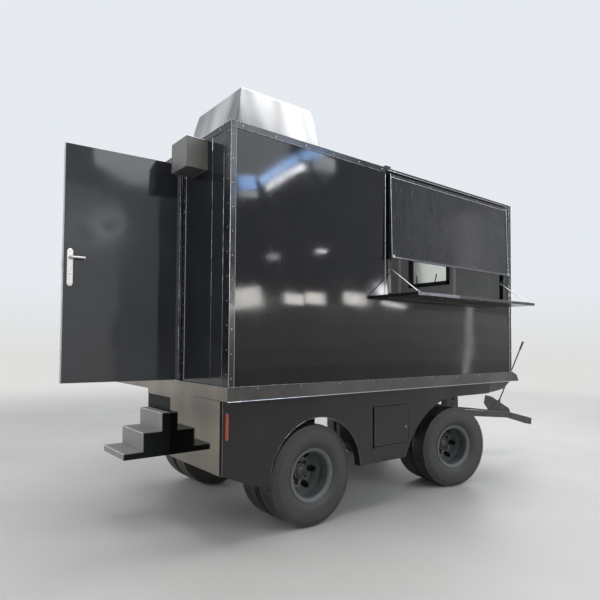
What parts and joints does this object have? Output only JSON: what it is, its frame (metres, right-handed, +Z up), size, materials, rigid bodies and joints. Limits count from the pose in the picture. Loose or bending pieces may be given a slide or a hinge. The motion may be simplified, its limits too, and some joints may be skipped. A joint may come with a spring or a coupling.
{
  "type": "field kitchen trailer",
  "caption": "Towed field kitchen trailer: glossy black panelled body, rear door and stair, serving hatch with flap and counter, steel roof cowl, steered bogie and drawbar.",
  "frame": {"origin": "on the ground under the middle of the whole trailer's box, as it stands with the door open, the counter out and the bogie steered", "axes": "+X towards the drawbar, +Z up, the serving hatch on the -Y side"},
  "size_m": [6.4848, 2.727, 3.56],
  "materials": {
    "black_paint": "gloss",
    "black_trim": "satin",
    "rail_paint": "gloss",
    "skirt_paint": "semi-gloss",
    "chassis_paint": "matt, dusty",
    "stair_paint": "matt",
    "wheel_paint": "satin, dusty",
    "steel": "polished",
    "spring_steel": "matt",
    "bare_aluminium": "satin",
    "glass": "clear",
    "red_plastic": "gloss",
    "tyre": "matt, dusty"
  },
  "bodies": {
    "trailer": {"floor": "rail_paint", "nose": "rail_paint", "wall_right": "black_paint", "wall_left": "black_paint", "wall_rear": "black_paint", "wall_front": "black_paint", "roof": "black_paint", "edge_strips": "black_trim", "hatch_frame": "black_trim", "window_frame": "bare_aluminium", "window_pane": "glass", "cowl": "steel", "vent_box": "steel", "skirt_right": "skirt_paint", "skirt_left": "skirt_paint", "locker_boxes": "chassis_paint", "rear_panel": "black_paint", "reflectors": "red_plastic", "stair": "stair_paint", "chassis": "chassis_paint", "turntable": "chassis_paint", "rear_axle": "chassis_paint", "rear_springs": "spring_steel", "cooking_range": "steel", "range_hood": "steel", "bench": "steel"},
    "rear_door": {"door": "black_paint", "door_handle": "steel"},
    "hatch_flap": {"flap": "black_trim"},
    "hatch_counter": {"counter": "black_trim", "counter_stays": "steel"},
    "locker_right": {"locker_door_right": "skirt_paint"},
    "locker_left": {"locker_door_left": "skirt_paint"},
    "steering_bogie": {"bogie": "chassis_paint", "bogie_ring": "chassis_paint", "front_axle": "chassis_paint", "front_springs": "spring_steel"},
    "towing_bar": {"drawbar": "chassis_paint", "brake_lever": "steel"},
    "twin_rear_right": {"wheel_rear_right": "wheel_paint", "tyres_rear_right": "tyre"},
    "twin_rear_left": {"wheel_rear_left": "wheel_paint", "tyres_rear_left": "tyre"},
    "twin_front_right": {"wheel_front_right": "wheel_paint", "tyres_front_right": "tyre"},
    "twin_front_left": {"wheel_front_left": "wheel_paint", "tyres_front_left": "tyre"}
  },
  "joints": [
    {"name": "rear_door_hinge", "type": "hinge", "parent": "trailer", "child": "rear_door", "pos_m": [-2.33305, -0.2465, 2.16], "axis": [0, 0, 1], "range_deg": [-84.6, 20]},
    {"name": "flap_hinge", "type": "hinge", "parent": "trailer", "child": "hatch_flap", "pos_m": [0.37595, -1.0635, 3.14], "axis": [-1, 0, 0], "range_deg": [-1.5, 88.5]},
    {"name": "counter_hinge", "type": "hinge", "parent": "trailer", "child": "hatch_counter", "pos_m": [0.44845, -1.0635, 2.015], "axis": [1, 0, 0], "range_deg": [-90, 0]},
    {"name": "locker_right_hinge", "type": "hinge", "parent": "trailer", "child": "locker_right", "pos_m": [-0.71405, -0.9745, 0.785], "axis": [0, 0, -1], "range_deg": [0, 100]},
    {"name": "locker_left_hinge", "type": "hinge", "parent": "trailer", "child": "locker_left", "pos_m": [-0.71405, 1.2815, 0.785], "axis": [0, 0, 1], "range_deg": [0, 100]},
    {"name": "steering", "type": "hinge", "parent": "trailer", "child": "steering_bogie", "pos_m": [0.88395, 0.1535, 0.965], "axis": [0, 0, 1], "range_deg": [-17.6, 42.4]},
    {"name": "drawbar_pitch", "type": "hinge", "parent": "steering_bogie", "child": "towing_bar", "pos_m": [1.50903, 0.01607, 0.69], "axis": [-0.2147, -0.9767, 0], "range_deg": [-8, 30]},
    {"name": "roll_rear_right", "type": "hinge", "parent": "trailer", "child": "twin_rear_right", "pos_m": [-1.38605, -0.6655, 0.4325], "axis": [0, 1, 0], "continuous": true},
    {"name": "roll_rear_left", "type": "hinge", "parent": "trailer", "child": "twin_rear_left", "pos_m": [-1.38605, 0.9725, 0.4325], "axis": [0, 1, 0], "continuous": true},
    {"name": "roll_front_right", "type": "hinge", "parent": "steering_bogie", "child": "twin_front_right", "pos_m": [0.70809, -0.6464, 0.4325], "axis": [0.2147, 0.9767, 0], "continuous": true},
    {"name": "roll_front_left", "type": "hinge", "parent": "steering_bogie", "child": "twin_front_left", "pos_m": [1.05982, 0.95339, 0.4325], "axis": [0.2147, 0.9767, 0], "continuous": true}
  ]
}
